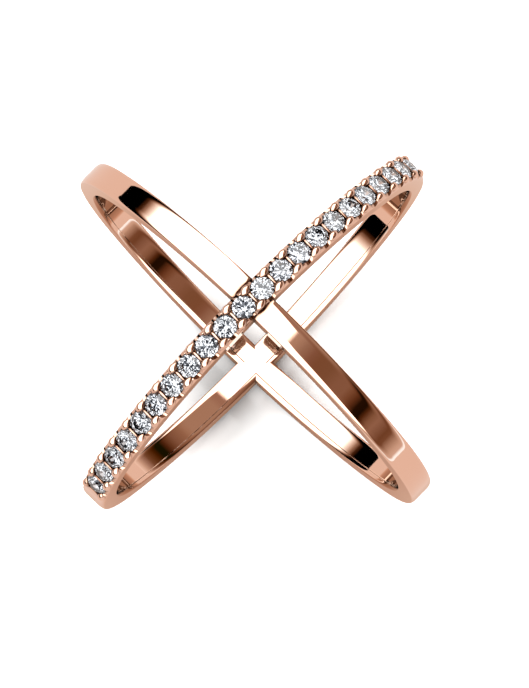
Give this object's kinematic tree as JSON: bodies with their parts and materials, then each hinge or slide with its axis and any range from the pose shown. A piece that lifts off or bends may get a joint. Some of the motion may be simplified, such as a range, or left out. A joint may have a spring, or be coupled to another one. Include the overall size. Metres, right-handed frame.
{
  "type": "crossover finger ring set with crystals",
  "caption": "Polished rose-gold finger ring of two flat bands that cross in an X front and back, with a row of round brilliants along one front arm.",
  "frame": {"origin": "on the floor under the middle of the rear crossing, on which the ring lies", "axes": "+Z up, from the rear crossing to the front crossing with the stones; the finger goes along Y; +X to the right in the picture, +Y up in the picture"},
  "size_m": [0.0214, 0.0214, 0.022],
  "materials": {
    "rose_gold": "mirror-polished rose-gold plating",
    "crystal": "clear colourless cut stone with polished facets"
  },
  "bodies": {
    "root": {"band": "rose_gold", "stone_01": "crystal", "stone_02": "crystal", "stone_03": "crystal", "stone_04": "crystal", "stone_05": "crystal", "stone_06": "crystal", "stone_07": "crystal", "stone_08": "crystal", "stone_09": "crystal", "stone_10": "crystal", "stone_11": "crystal", "stone_12": "crystal", "stone_13": "crystal", "stone_14": "crystal", "stone_15": "crystal", "stone_16": "crystal", "stone_17": "crystal", "stone_18": "crystal", "stone_19": "crystal", "stone_20": "crystal", "stone_21": "crystal", "stone_22": "crystal"}
  },
  "joints": []
}
